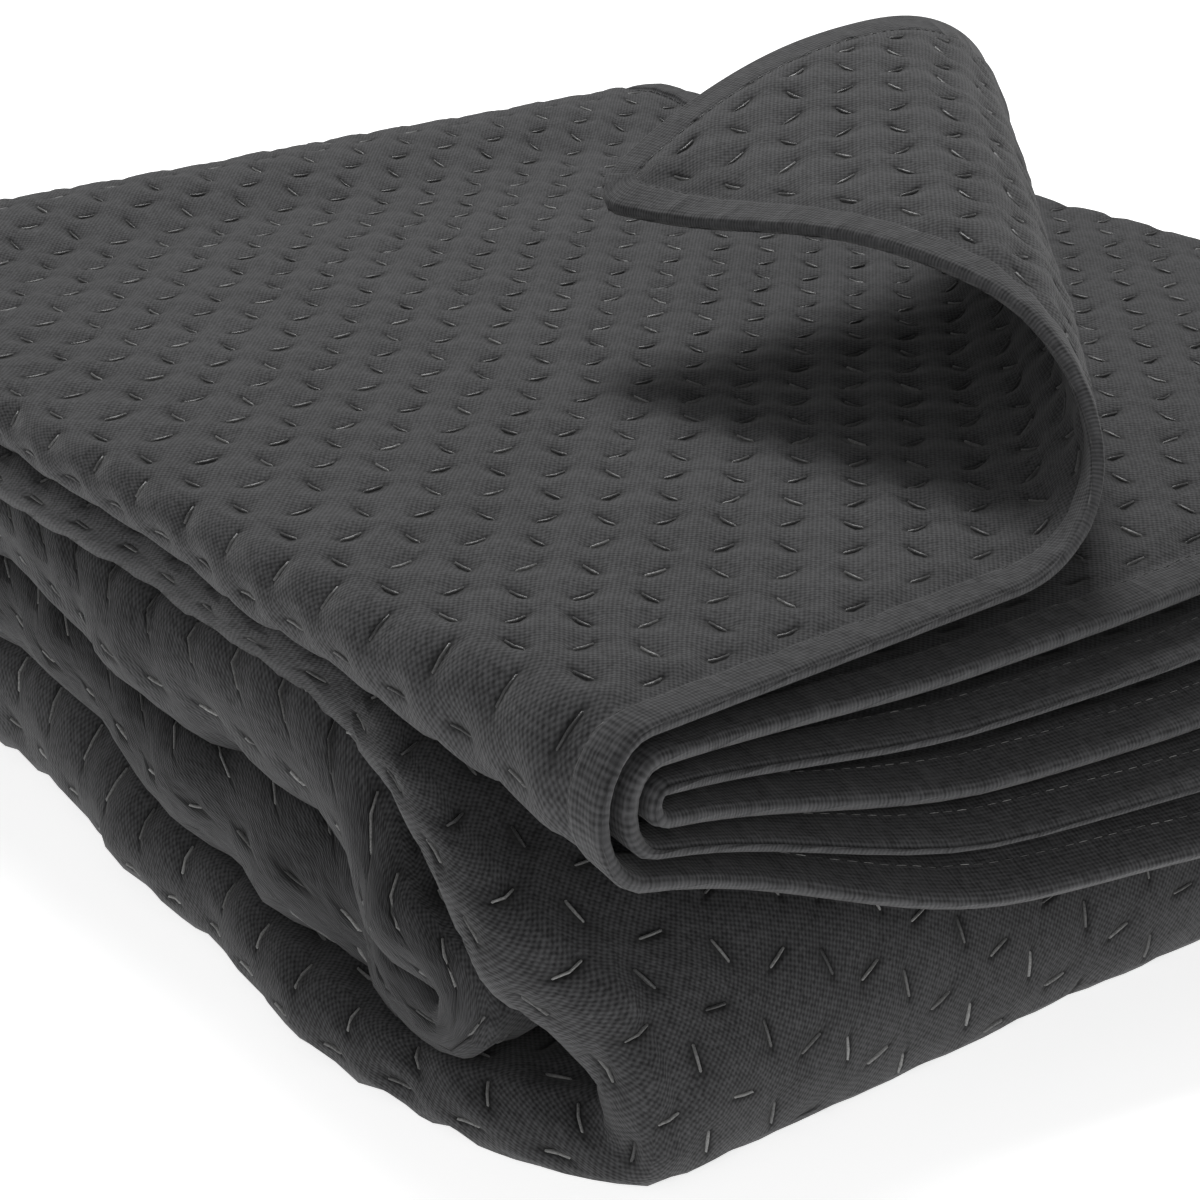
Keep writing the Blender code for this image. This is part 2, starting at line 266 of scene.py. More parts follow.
def turnCornerBack(x, y, z):
    along = np.array([math.cos(corner["direction"]), math.sin(corner["direction"])])
    past = pastCurlLine(x, y)
    beside = (x - corner["startX"]) * along[0] + y * along[1]
    size = 1 + corner["growth"] * (beside - corner["middle"])
    at, forward, up = curlProfile()
    lifted = np.maximum(past, 0) / size
    reach = np.where(past > 0, np.interp(lifted, at, forward) * size, past)
    rise = np.where(past > 0, np.interp(lifted, at, up) * size, 0)
    newX = corner["startX"] + beside * along[0] + reach * along[1]
    return newX, beside * along[1] - reach * along[0], z + rise


def roundCorner(x, y):
    dx = np.maximum(x - (cloth["flapReach"] - cloth["cornerRadius"]), 0)
    dy = np.maximum(cloth["cornerRadius"] - y, 0)
    scale = np.maximum(dx, dy) / np.maximum(np.hypot(dx, dy), 1e-9)
    scale = np.where((dx > 0) & (dy > 0), scale, 1.0)
    return x - dx * (1 - scale), y + dy * (1 - scale)


# Creases and lumps, given one by one: the side, the place along it, the height, both half sizes and the
# push, all in millimetres. A push is inward if it is more than 0.
dents = (
    ("front", 15, 42, 5, 34, 3.6), ("front", 3, 12, 11, 12, -4.2), ("front", 30, 22, 9, 16, -1.6),
    ("front", 74, 44, 26, 24, -1.8), ("front", 150, 30, 22, 40, 2.2), ("front", 232, 48, 30, 26, -2.0),
    ("front", 320, 34, 24, 40, 2.0), ("front", 395, 40, 20, 30, -1.6),
    ("left", 74, 46, 13, 13, -6.0), ("left", 92, 31, 9, 10, 5.0), ("left", 112, 52, 10, 10, 3.6),
    ("left", 128, 34, 13, 11, -5.5), ("left", 160, 63, 12, 12, 4.5), ("left", 178, 44, 15, 11, -4.5),
    ("left", 214, 71, 14, 11, -4.0), ("left", 236, 35, 14, 10, 4.0), ("left", 262, 57, 16, 12, -4.5),
    ("left", 300, 76, 14, 10, 4.0), ("left", 318, 38, 17, 11, -4.0), ("left", 356, 60, 16, 12, 4.2),
    ("left", 398, 42, 18, 12, -4.0), ("left", 432, 74, 16, 12, -3.6), ("left", 66, 92, 14, 9, -2.6),
    ("left", 104, 98, 12, 8, 2.6), ("left", 150, 101, 16, 8, -2.6), ("left", 206, 104, 14, 8, 2.8),
    ("left", 60, 10, 13, 9, 3.8), ("left", 104, 9, 14, 9, -3.6), ("left", 158, 13, 13, 9, 3.6),
    ("left", 208, 14, 16, 10, -3.4), ("left", 290, 16, 17, 10, 3.2), ("left", 360, 14, 17, 10, -3.2),
    ("left", 20, 104, 14, 16, -1.6), ("left", 48, 112, 11, 12, 1.6), ("left", 92, 116, 14, 9, -1.6),
    ("left", 176, 116, 15, 9, 1.8), ("left", 250, 117, 18, 9, -2.0), ("left", 330, 116, 18, 9, 2.2),
)


def pushDents(x, y, z):
    # Every layer near a dent moves with it, so close layers stay apart
    moveX, moveY = 0, 0
    for side, place, height, wide, high, push in dents:
        at = x if side == "front" else y
        near = np.exp(-(((at - place * mm) / (wide * mm)) ** 2) - ((z - height * mm) / (high * mm)) ** 2)
        if side == "front":
            moveY = moveY + push * mm * near * smoothStep(1 - (y + 0.01) / 0.05)
        else:
            moveX = moveX + push * mm * near * smoothStep(1 - x / 0.06)
    return x + moveX, y + moveY


def foldedSurface(samples, rows, along, upper):
    # The cloth's mid-surface, first without the turned corner and then with it
    top, bottom, left = rows[:, 0:2], rows[:, 2:4], rows[:, 4]
    thick = np.linalg.norm(top - bottom, axis=1)
    pitch = (thick - cloth["thickness"]) / (cloth["layers"] - 1)
    depth = np.minimum(cloth["foldRoundness"] * thick, cloth["mostFoldDepth"])
    x, depths, pitches, rank = (samples[:, [i]] for i in range(4))
    x = x + depths * depth + pitches * pitch
    down = (cloth["thickness"] / 2 + rank * pitch) / thick
    y = top[:, 0] + down * (bottom[:, 0] - top[:, 0])
    z = top[:, 1] + down * (bottom[:, 1] - top[:, 1])
    fan = np.where(upper, np.clip(1 - along / cloth["fanDepth"], 0, 1) ** 2, 0)
    y = y - rank * fan * cloth["fanOut"] * smoothStep(x / cloth["fanOutReach"])
    z = z - rank * fan * cloth["fanDrop"] * smoothStep(x / cloth["fanDropReach"])
    wave = np.sin(2 * math.pi * y / cloth["swayLength"] + cloth["swayPhase"])
    z = z * (1 + cloth["sway"] * wave * (x / cloth["stackWidth"] - 0.5) / (upperPass[0][1] * mm))
    x = x + left * np.clip(1 - x / cloth["leftReach"], 0, 1) ** 2
    flap = upper & (samples[:, [4]] == 0)
    lift = smoothStep((x - cloth["flapReach"] + cloth["hemLiftReach"]) / cloth["hemLiftReach"])
    z = z + flap * cloth["hemLift"] * lift * smoothStep((0.46 - along) / 0.05)
    low = smoothStep(1 - y / cloth["leanDepth"]) * smoothStep(1 - z / cloth["leanHeight"])
    y = y - ~upper * cloth["lean"] * x * low
    x, y = pushDents(x + 0 * y, y, z)
    flat = np.stack([x, y, z], axis=-1)
    droop = corner["sag"] * np.exp(-(((x - corner["sagX"]) / corner["sagReach"]) ** 2))
    droop = droop * smoothStep(1 - y / corner["sagDepth"])
    newX, newY, newZ = turnCornerBack(*roundCorner(x, y), z)
    turned = np.stack([newX, newY, newZ - droop], axis=-1)
    return flat, np.where(flap[..., None], turned, flat)


def wander(u, v, seed, longest):
    # A slow unevenness from -1 to 1 over the flat cloth
    chance = np.random.default_rng(seed)
    total = 0
    for k in range(6):
        angle, phase = chance.uniform(0, math.pi), chance.uniform(0, 2 * math.pi)
        wave = 2 * math.pi / (longest * (0.45 + 0.11 * k))
        total = total + np.sin(wave * (u * math.cos(angle) + v * math.sin(angle)) + phase)
    return total / 3.2


def quiltNet(u, v):
    # Places on the net of stitches, in pitches, which drift a little as hand-set rows do
    drift = quilting["drift"]
    a = (u - quilting["firstStitch"][0] + drift * wander(u, v, 3, 0.16)) / quilting["pitch"]
    b = (v - quilting["firstStitch"][1] + drift * wander(u, v, 4, 0.16)) / quilting["pitch"]
    return a, b


def quiltRelief(a, b, u, v, face):
    # Swelling between stitches, which lie in two directions on a diagonal net
    length, width = (size / quilting["pitch"] for size in quilting["dimple"])
    hollow = 0
    for turned, shiftA, shiftB in ((False, 0.0, 0.0), (True, 0.5, 0.5)):
        alongA = a - shiftA - (0.5 if face else 0.0)
        alongB = b - shiftB
        alongA, alongB = alongA - np.round(alongA), alongB - np.round(alongB)
        if turned:
            alongA, alongB = alongB, alongA
        hollow = hollow + np.exp(-np.abs(alongA / length) ** 2.4 - np.abs(alongB / width) ** 1.5)
    uneven = 1 + quilting["uneven"] * wander(u, v, 5 + face, 0.07)
    return quilting["puff"] * uneven * (1 - quilting["depth"] * np.minimum(hollow, 1.0))


def unitNormals(grid):
    normal = np.cross(np.gradient(grid, axis=0), np.gradient(grid, axis=1))
    return normal / np.maximum(np.linalg.norm(normal, axis=2, keepdims=True), 1e-12)


def clothPlan():
    rows = stripRows()
    at = np.concatenate([[0.0], np.cumsum(
        np.linalg.norm(np.diff((rows[:, 0:2] + rows[:, 2:4]) / 2, axis=0), axis=1))])
    along = stripStations(at)
    samples = sectionSamples()
    read = smoothCurve(at, rows, along)
    flat, middle = foldedSurface(samples, read, along, along < at[10])
    stepU = np.median(np.linalg.norm(np.diff(flat, axis=0), axis=2), axis=1)
    u = np.concatenate([[0.0], np.cumsum(stepU)])[:, None] + 0 * along
    stepV = np.linalg.norm(np.diff(flat, axis=1), axis=2)
    v = np.concatenate([np.zeros((len(samples), 1)), np.cumsum(stepV, axis=1)], axis=1)
    a, b = quiltNet(u, v)
    return {"at": at, "along": along, "samples": samples, "middle": middle, "u": u, "v": v, "a": a, "b": b}


def seen(plan):
    # How openly each place of both faces shows, from 0 to 1: face 0 is outside the top layer
    at, along = plan["at"], plan["along"]
    x = plan["samples"][:, [0]]
    place = plan["samples"][:, [4]]
    one = np.ones_like(along)[None, :]
    upper = smoothStep((at[12] - along) / 0.01)
    backTurns = smoothStep((along - at[31] + 0.02) / 0.01) * smoothStep((at[35] + 0.02 - along) / 0.01)
    topTurn = smoothStep((at[14] + 0.03 - along) / 0.02)
    wrap = smoothStep((along - at[18]) / 0.03) * smoothStep((at[26] - 0.015 - along) / 0.02)
    front = 1 - smoothStep((along - 0.02) / 0.03)
    left = 1 - smoothStep((x - 0.004) / 0.03)
    past = pastCurlLine(x, along)
    lifted = smoothStep(past / 0.03) * upper
    outside = np.where(place == 0, np.maximum(topTurn, left * one), 0.0)
    outside = np.where(place == 6, one, outside)
    outside = np.where(place == 5, np.maximum(np.maximum(0.55 * wrap, backTurns), left * one), outside)
    outside = np.where((place == 9) | (place == 8), 0.5 * one, outside)
    outside = np.where((place == 5) & (x > 0.01), np.maximum(outside, 0.3 * front), outside)
    inside = np.where(place == 0, lifted, 0.0)
    inside = np.where(place == 1, np.maximum(lifted, 0.5 * left * one), inside)
    inside = np.where((place == 7) | (place == 8), 0.5 * one, inside)
    return outside, inside, front


def edgeDistance(plan):
    # From the strip's two ends, and from the side hems of the top layer and of the free inner layer
    along, samples = plan["along"], plan["samples"]
    ends = np.minimum(along, along[-1] - along)[None, :] + 0 * samples[:, [0]]
    topSide = np.where(samples[:, [4]] == 0, cloth["flapReach"] - samples[:, [0]], 1.0)
    last = cloth["stackWidth"] - cloth["innerEdgeInset"] - samples[:, [0]]
    lastSide = np.where(samples[:, [4]] == 3, last, 1.0)
    return ends, topSide + 0 * ends, lastSide + 0 * ends


def hemSwell(distance):
    # Thickness from the rounded rim over the hem to the single cloth
    radius = cloth["hemThickness"] / 2
    rim = np.sqrt(np.clip(1 - (1 - np.clip(distance / radius, 0.02, 1)) ** 2, 0, 1))
    inside = smoothStep((distance - cloth["hemEnd"]) / cloth["hemSlope"])
    thin = cloth["thickness"] * np.minimum(rim, 1)
    return (1 - inside) * cloth["hemThickness"] * rim + inside * thin


def clothPoints(plan):
    # Points of both faces, with their flat places and how near they are to a hem
    middle = plan["middle"]
    normal = unitNormals(middle)
    outside, inside, front = seen(plan)
    ends, topSide, lastSide = edgeDistance(plan)
    upper = smoothStep((plan["at"][10] - plan["along"]) / 0.03)
    endThick = hemSwell(ends)
    topThick = hemSwell(topSide)
    lastThick = hemSwell(lastSide)
    thin = cloth["thickness"]
    base = np.minimum(np.minimum(endThick, np.minimum(topThick, thin) + endThick - thin),
                      np.minimum(lastThick, thin) + endThick - thin)
    base = np.maximum(base, 0.0002)
    raised = np.maximum(topThick - endThick, 0) * (0.25 + 0.75 * upper)
    hemmed = np.minimum(ends, np.minimum(topSide, lastSide))
    free = smoothStep((hemmed - quilting["clearOfHem"]) / quilting["growsOver"])
    seamPlace, seamWidth, seamDepth = cloth["seam"]
    dip = np.exp(-(((hemmed - seamPlace) / seamWidth) ** 2)) * seamDepth
    faces = []
    for face, shown in ((1, inside), (0, outside)):
        relief = quiltRelief(plan["a"], plan["b"], plan["u"], plan["v"], face) * free * shown - dip
        out = base / 2 + relief + (raised if face == 0 else 0)
        side = 1 if face else -1
        faces.append(middle + side * normal * np.maximum(out, 0.0001)[..., None])
    hem = 1 - smoothStep((hemmed - 0.0105) / 0.0012)
    # The hem is drawn up a little by its own stitching
    waveLength, waveHeight = cloth["hemRipple"]
    ripple = wander(plan["u"], plan["v"], 8, waveLength) * hem * smoothStep(hemmed / 0.004) * waveHeight
    for k, side in ((0, 1), (1, -1)):
        faces[k] = faces[k] + side * normal * ripple[..., None]
    return faces, (outside, inside, front), hem


def blockSteps(plan, shown, front):
    # The largest block of cells that may be one face, across and along, where the cloth is hidden
    place = plan["samples"][:, 4]
    fold = np.isin(place, (6, 7, 8, 9))
    fine = (shown > 0.25) | (front > 0.4)
    fine = fine[:-1, :-1] | fine[1:, :-1] | fine[:-1, 1:] | fine[1:, 1:]
    foldCell = (fold[:-1] | fold[1:])[:, None]
    across = np.where(fine | foldCell, 1, 8)
    along = np.where(fine, 1, 4)
    # Rows of the strip between which it turns over keep shorter blocks
    curved = np.zeros(len(plan["along"]), bool)
    for first, last in ((18, 26), (9, 15), (30, 36), (39, 47)):
        curved |= (plan["along"] > plan["at"][first]) & (plan["along"] < plan["at"][last])
    along = np.where(curved[None, :-1], np.minimum(along, 2), along)
    along[0, :] = along[-1, :] = 1
    across[:, 0] = across[:, -1] = 1
    return across, along


def clothBlocks(across, along):
    cells = []
    columns, rows = across.shape

    def divide(i, j, wide, long):
        high, far = min(i + wide, columns), min(j + long, rows)
        if high <= i or far <= j:
            return
        if wide > 1 and across[i:high, j:far].min() < wide:
            divide(i, j, wide // 2, long)
            divide(i + wide // 2, j, wide // 2, long)
        elif long > 1 and along[i:high, j:far].min() < long:
            divide(i, j, wide, long // 2)
            divide(i, j + long // 2, wide, long // 2)
        else:
            cells.append((i, j, high, far))

    for i in range(0, columns, 8):
        for j in range(0, rows, 4):
            divide(i, j, 8, 4)
    return cells


def blockFaces(cells, shape, face):
    # A block's face also takes the corners of finer blocks that lie on its edges
    used = np.zeros(shape, bool)
    for i, j, high, far in cells:
        used[i, j] = used[high, j] = used[i, far] = used[high, far] = True
    polygons = []
    for i, j, high, far in cells:
        ring = [(a, j) for a in range(i, high) if used[a, j]]
        ring += [(high, b) for b in range(j, far) if used[high, b]]
        ring += [(a, far) for a in range(high, i, -1) if used[a, far]]
        ring += [(i, b) for b in range(far, j, -1) if used[i, b]]
        polygons.append(ring if face else ring[::-1])
    return polygons, used


def clothMesh(plan):
    faces, (outside, inside, front), hem = clothPoints(plan)
    plan["faces"] = [faces[1], faces[0]]  # outside, inside
    plan["shown"] = [outside + 0 * plan["u"], inside + 0 * plan["u"]]
    columns, rows = plan["u"].shape
    points = np.concatenate([f.reshape(-1, 3) for f in faces])
    points[:, :2] += shift
    points[:, 2] = np.where(points[:, 2] < cloth["floorBand"], 0.0, points[:, 2])
    polygons = []
    keep = np.zeros(len(points), bool)
    for side, (face, shown) in enumerate(((1, inside), (0, outside))):
        across, along = blockSteps(plan, shown + 0 * plan["u"], front + 0 * plan["u"])
        rings, used = blockFaces(clothBlocks(across, along), (columns, rows), face)
        start = side * columns * rows
        polygons += [[start + i * rows + j for i, j in ring] for ring in rings]
        keep[start:start + columns * rows] = used.ravel()
    rim = [(i, 0) for i in range(columns)] + [(columns - 1, j) for j in range(1, rows)]
    rim += [(i, rows - 1) for i in range(columns - 2, -1, -1)] + [(0, j) for j in range(rows - 2, 0, -1)]
    for (i, j), (k, m) in zip(rim, rim[1:] + rim[:1]):
        low, high = i * rows + j, k * rows + m
        polygons.append([high, low, columns * rows + low, columns * rows + high])
    number = np.cumsum(keep) - 1
    mesh = bpy.data.meshes.new("bedspreadCloth")
    mesh.from_pydata(points[keep].tolist(), [], [[int(number[p]) for p in ring] for ring in polygons])
    corners = np.empty(len(mesh.loops), np.int32)
    mesh.loops.foreach_get("vertex_index", corners)
    for name, across, along, aside in (("flatCloth", "u", "v", 0.0), ("quiltNet", "a", "b", 0.5)):
        flat = np.stack([plan[across].ravel(), plan[along].ravel()], axis=1)
        flat = np.concatenate([flat - (aside, 0.0), flat])[keep]
        layer = mesh.uv_layers.new(name=name)
        layer.data.foreach_set("uv", flat[corners].astype(np.float32).ravel())
    hemmed = mesh.attributes.new("hem", "FLOAT", "POINT")
    hemmed.data.foreach_set("value", np.concatenate([hem.ravel(), hem.ravel()])[keep].astype(np.float32))
    mesh.shade_smooth()
    return mesh


shift = np.array((-0.2088154, -0.2358170))  # puts the stack's middle over the origin, as in the solid
plan = clothPlan()
print("cloth planned:", plan["u"].shape, "flat size", round(float(plan["u"][-1, 0]), 3),
      round(float(np.median(plan["v"][:, -1])), 3))
bedspread = bpy.data.objects.new("bedspreadCloth", clothMesh(plan))
bpy.context.scene.collection.objects.link(bedspread)
print("cloth made:", sum(len(p.vertices) - 2 for p in bedspread.data.polygons), "triangles")


weave = {
    "thread": 0.00084,  # pitch of the plain weave
    "dark": (0.012, 0.012, 0.0128, 1),
    "pale": (0.078, 0.078, 0.081, 1),
    "contrast": 1.0,  # of the threads, of thick and thin places in them, and of cloudy patches
    "slub": 1.2,
    "cloudy": 0.35,
    # How strongly painted shade darkens the colour in the stitch grooves and in the hollows round the stitches
    "grooveShade": 0.62,
    "puckerShade": 0.33,
    "relief": 0.00016,
    "pucker": 0.0006,
    "groove": 0.0011,
}


def calculate(tree, kind, first, second=None, third=None):
    node = tree.nodes.new("ShaderNodeMath")
    node.operation = kind
    for socket, value in zip(node.inputs, (first, second, third)):
        if value is None:
            continue
        if isinstance(value, (int, float)):
            socket.default_value = value
        else:
            tree.links.new(value, socket)
    return node.outputs[0]


def charcoalWeave():
    material = bpy.data.materials.new("charcoalWeave")
    material.use_nodes = True
    tree = material.node_tree
    shader = tree.nodes["Principled BSDF"]

    def uvPlace(name):
        node = tree.nodes.new("ShaderNodeUVMap")
        node.uv_map = name
        split = tree.nodes.new("ShaderNodeSeparateXYZ")
        tree.links.new(node.outputs[0], split.inputs[0])
        return node.outputs[0], split.outputs[0], split.outputs[1]

    def noise(vector, scale, detail, stretch=(1, 1, 1)):
        mapping = tree.nodes.new("ShaderNodeMapping")
        mapping.inputs["Scale"].default_value = stretch
        tree.links.new(vector, mapping.inputs["Vector"])
        node = tree.nodes.new("ShaderNodeTexNoise")
        node.inputs["Scale"].default_value = scale
        node.inputs["Detail"].default_value = detail
        tree.links.new(mapping.outputs[0], node.inputs["Vector"])
        return node.outputs["Fac"]

    def times(a, b):
        return calculate(tree, "MULTIPLY", a, b)

    def plus(a, b):
        return calculate(tree, "ADD", a, b)

    flat, u, v = uvPlace("flatCloth")
    net, a, b = uvPlace("quiltNet")
    hem = tree.nodes.new("ShaderNodeAttribute")
    hem.attribute_name = "hem"
    hem = hem.outputs["Fac"]

    # The weave turns on the bias over the hem
    turned = calculate(tree, "GREATER_THAN", hem, 0.5)
    weftPlace = plus(times(plus(u, v), times(turned, 0.7071)), times(u, calculate(tree, "SUBTRACT", 1, turned)))
    warpPlace = plus(times(calculate(tree, "SUBTRACT", u, v), times(turned, 0.7071)),
                     times(v, calculate(tree, "SUBTRACT", 1, turned)))
    turns = 2 * math.pi / weave["thread"]
    weft = calculate(tree, "SINE", times(weftPlace, turns / 2))
    warp = calculate(tree, "SINE", times(warpPlace, turns / 2))
    cross = times(weft, warp)  # over and under
    twill = calculate(tree, "SINE", times(plus(weftPlace, warpPlace), turns / 2))
    threads = plus(times(cross, 0.38), times(twill, 0.12))

    slub = plus(noise(flat, 1100, 2, (1, 0.25, 1)), noise(flat, 1100, 2, (0.25, 1, 1)))
    cloudy = noise(flat, 22, 3)
    thickAndThin = times(calculate(tree, "SUBTRACT", slub, 1.0), weave["slub"])
    shade = plus(times(threads, weave["contrast"]), thickAndThin)
    patches = times(calculate(tree, "SUBTRACT", cloudy, 0.5), weave["cloudy"])
    shade = plus(plus(shade, 0.5), patches)
    ramp = tree.nodes.new("ShaderNodeMix")
    ramp.data_type = "RGBA"
    ramp.clamp_factor = True
    tree.links.new(shade, ramp.inputs["Factor"])
    ramp.inputs["A"].default_value = weave["dark"]
    ramp.inputs["B"].default_value = weave["pale"]

    # A groove under each stitch, and puckers that run out from its ends
    def grooves(alongA, alongB):
        x = calculate(tree, "SUBTRACT", alongA, calculate(tree, "ROUND", alongA))
        y = calculate(tree, "SUBTRACT", alongB, calculate(tree, "ROUND", alongB))
        reach = calculate(tree, "POWER", calculate(tree, "ABSOLUTE", times(x, 5.2)), 4.0)
        width = calculate(tree, "POWER", times(y, 21.0), 2.0)
        slot = calculate(tree, "EXPONENT", times(plus(reach, width), -1.0))
        around = plus(times(times(x, x), 14.0), times(times(y, y), 60.0))
        near = calculate(tree, "EXPONENT", times(around, -1.0))
        return slot, near

    slotA, nearA = grooves(a, b)
    slotB, nearB = grooves(plus(b, 0.5), plus(a, 0.5))
    offHem = calculate(tree, "SUBTRACT", 1, hem)
    slot = times(calculate(tree, "MAXIMUM", slotA, slotB), offHem)
    near = times(calculate(tree, "MAXIMUM", nearA, nearB), offHem)
    # Painted shade: the cloth colour is darkened in the stitch grooves and round the stitches, where shade
    # falls in the hollows
    paintedShadeAmount = plus(times(slot, weave["grooveShade"]), times(near, weave["puckerShade"]))
    paintedShadeFactor = calculate(tree, "SUBTRACT", 1.0, paintedShadeAmount)
    shadeMix = tree.nodes.new("ShaderNodeVectorMath")
    shadeMix.operation = "SCALE"
    tree.links.new(ramp.outputs["Result"], shadeMix.inputs[0])
    tree.links.new(paintedShadeFactor, shadeMix.inputs["Scale"])
    tree.links.new(shadeMix.outputs[0], shader.inputs["Base Color"])
    wrinkle = plus(times(noise(net, 3.4, 2, (0.55, 1.6, 1)), nearA),
                   times(noise(net, 3.4, 2, (1.6, 0.55, 1)), nearB))
    wrinkle = plus(wrinkle, times(noise(net, 1.6, 2), 0.6))
    height = plus(times(threads, weave["relief"]), times(wrinkle, weave["pucker"] * 2))
    height = plus(height, times(slot, -weave["groove"]))
    height = plus(height, times(near, -weave["groove"] * 0.5))
    bump = tree.nodes.new("ShaderNodeBump")
    bump.inputs["Distance"].default_value = 1.0
    bump.inputs["Strength"].default_value = 0.9
    tree.links.new(height, bump.inputs["Height"])
    tree.links.new(bump.outputs[0], shader.inputs["Normal"])
    rough = plus(times(slub, 0.12), 0.74)
    tree.links.new(rough, shader.inputs["Roughness"])
    shader.inputs["Sheen Weight"].default_value = 0.12
    shader.inputs["Sheen Roughness"].default_value = 0.5
    shader.inputs["Specular IOR Level"].default_value = 0.35
    return material


thread = {
    "strands": 1500,
    "dark": (0.02, 0.02, 0.021, 1),
    "pale": (0.30, 0.30, 0.295, 1),
    "relief": 0.0002,
}


def quiltingThread():
    material = bpy.data.materials.new("quiltingThread")
    material.use_nodes = True
    tree = material.node_tree
    shader = tree.nodes["Principled BSDF"]
    place = tree.nodes.new("ShaderNodeTexCoord")
    strands = tree.nodes.new("ShaderNodeTexNoise")
    strands.inputs["Scale"].default_value = thread["strands"]
    tree.links.new(place.outputs["Object"], strands.inputs["Vector"])
    mix = tree.nodes.new("ShaderNodeMix")
    mix.data_type = "RGBA"
    tone = tree.nodes.new("ShaderNodeAttribute")
    tone.attribute_name = "tone"
    paleness = calculate(tree, "MULTIPLY", tone.outputs["Fac"], strands.outputs["Fac"])
    tree.links.new(calculate(tree, "MULTIPLY", paleness, 2.0), mix.inputs["Factor"])
    mix.inputs["A"].default_value = thread["dark"]
    mix.inputs["B"].default_value = thread["pale"]
    tree.links.new(mix.outputs["Result"], shader.inputs["Base Color"])
    bump = tree.nodes.new("ShaderNodeBump")
    bump.inputs["Distance"].default_value = thread["relief"]
    tree.links.new(strands.outputs["Fac"], bump.inputs["Height"])
    tree.links.new(bump.outputs[0], shader.inputs["Normal"])
    shader.inputs["Roughness"].default_value = 0.42
    shader.inputs["Sheen Weight"].default_value = 0.2
    return material


def onCloth(face, u, v):
    # The points of a face, its outward way and how openly it shows, at places on the flat cloth
    grid, points = plan["u"][:, 0], plan["faces"][face]
    i = np.clip(np.searchsorted(grid, u, side="right") - 1, 0, len(grid) - 2)
    s = np.clip((u - grid[i]) / (grid[i + 1] - grid[i]), 0, 1)
    found = []
    for column in (i, i + 1):
        rows = plan["v"][column]
        j = np.clip((rows <= v[:, None]).sum(axis=1) - 1, 0, rows.shape[1] - 2)
        low, high = rows[np.arange(len(j)), j], rows[np.arange(len(j)), j + 1]
        t = np.clip((v - low) / (high - low), 0, 1)[:, None]
        place = points[column, j] * (1 - t) + points[column, j + 1] * t
        way = plan["normals"][column, j] * (1 - t) + plan["normals"][column, j + 1] * t
        found.append((place, way, plan["shown"][face][column, j]))
    (placeA, wayA, openA), (placeB, wayB, openB) = found
    s = s[:, None]
    way = (wayA * (1 - s) + wayB * s) * (1 if face else -1)
    way /= np.maximum(np.linalg.norm(way, axis=1, keepdims=True), 1e-9)
    return placeA * (1 - s) + placeB * s, way, np.minimum(openA, openB)


def stitchLines():
    # Short lines of five points on the flat cloth: u, v, face and how deep and thick each point is
    pitch, half = quilting["pitch"], quilting["stitch"] / 2
    firstU, firstV = quilting["firstStitch"]
    wide, long = plan["u"][-1, 0], float(plan["v"][:, -1].max())
    steps = np.array((-1, -0.82, 0, 0.82, 1))
    sink = np.array((1.2, 0.35, 0.1, 0.35, 1.2)) * quilting["sink"]
    thick = np.array((0.5, 0.95, 1, 0.95, 0.5)) * quilting["threadRadius"]
    lines = []
    chance = np.random.default_rng(11)
    for face in (0, 1):
        for turned in (False, True):
            aside = 0.5 * face + 0.5 * turned
            u0 = firstU + pitch * (np.arange(-1, int(wide / pitch) + 1) + aside)
            v0 = firstV + pitch * (np.arange(-1, int(long / pitch) + 1) + 0.5 * turned)
            u, v = (g.ravel() for g in np.meshgrid(u0, v0, indexing="ij"))
            driftU = quilting["drift"] * wander(u, v, 3, 0.16)
            driftV = quilting["drift"] * wander(u, v, 4, 0.16)
            u, v = u - driftU, v - driftV
            tilt = chance.uniform(-0.09, 0.09, len(u))[:, None]
            du = half * steps * (np.sin(tilt) if turned else np.cos(tilt))
            dv = half * steps * (np.cos(tilt) if turned else np.sin(tilt))
            lines.append((u[:, None] + du, v[:, None] + dv, face, sink, thick, 0.42))
    return lines


def hemLines():
    # The running stitch along the inner side of the hem, on both faces
    length, line = quilting["hemStitch"], quilting["hemLine"]
    step = length + quilting["hemGap"]
    wide, long = plan["u"][-1, 0], float(plan["along"][-1])
    steps = np.array((-1, -0.7, 0, 0.7, 1)) * length / 2
    sink = np.array((2, 0, -0.5, 0, 2)) * quilting["hemThreadRadius"]
    thick = np.array((0.7, 1, 1, 1, 0.7)) * quilting["hemThreadRadius"]
    lines = []
    chance = np.random.default_rng(12)
    for face in (0, 1):
        offset = 0.5 * step * face
        across = np.arange(line + offset, wide - line, step)
        across = across + chance.uniform(-0.0003, 0.0003, len(across))
        along = np.arange(line + offset, long - line, step)
        along = along + chance.uniform(-0.0003, 0.0003, len(along))
        lines.append((across[:, None] + steps, 0 * across[:, None] + line + 0 * steps, face, sink, thick, -1))
        lines.append((0 * along[:, None] + line + 0 * steps, along[:, None] + steps, face, sink, thick, 0.42))
    return lines


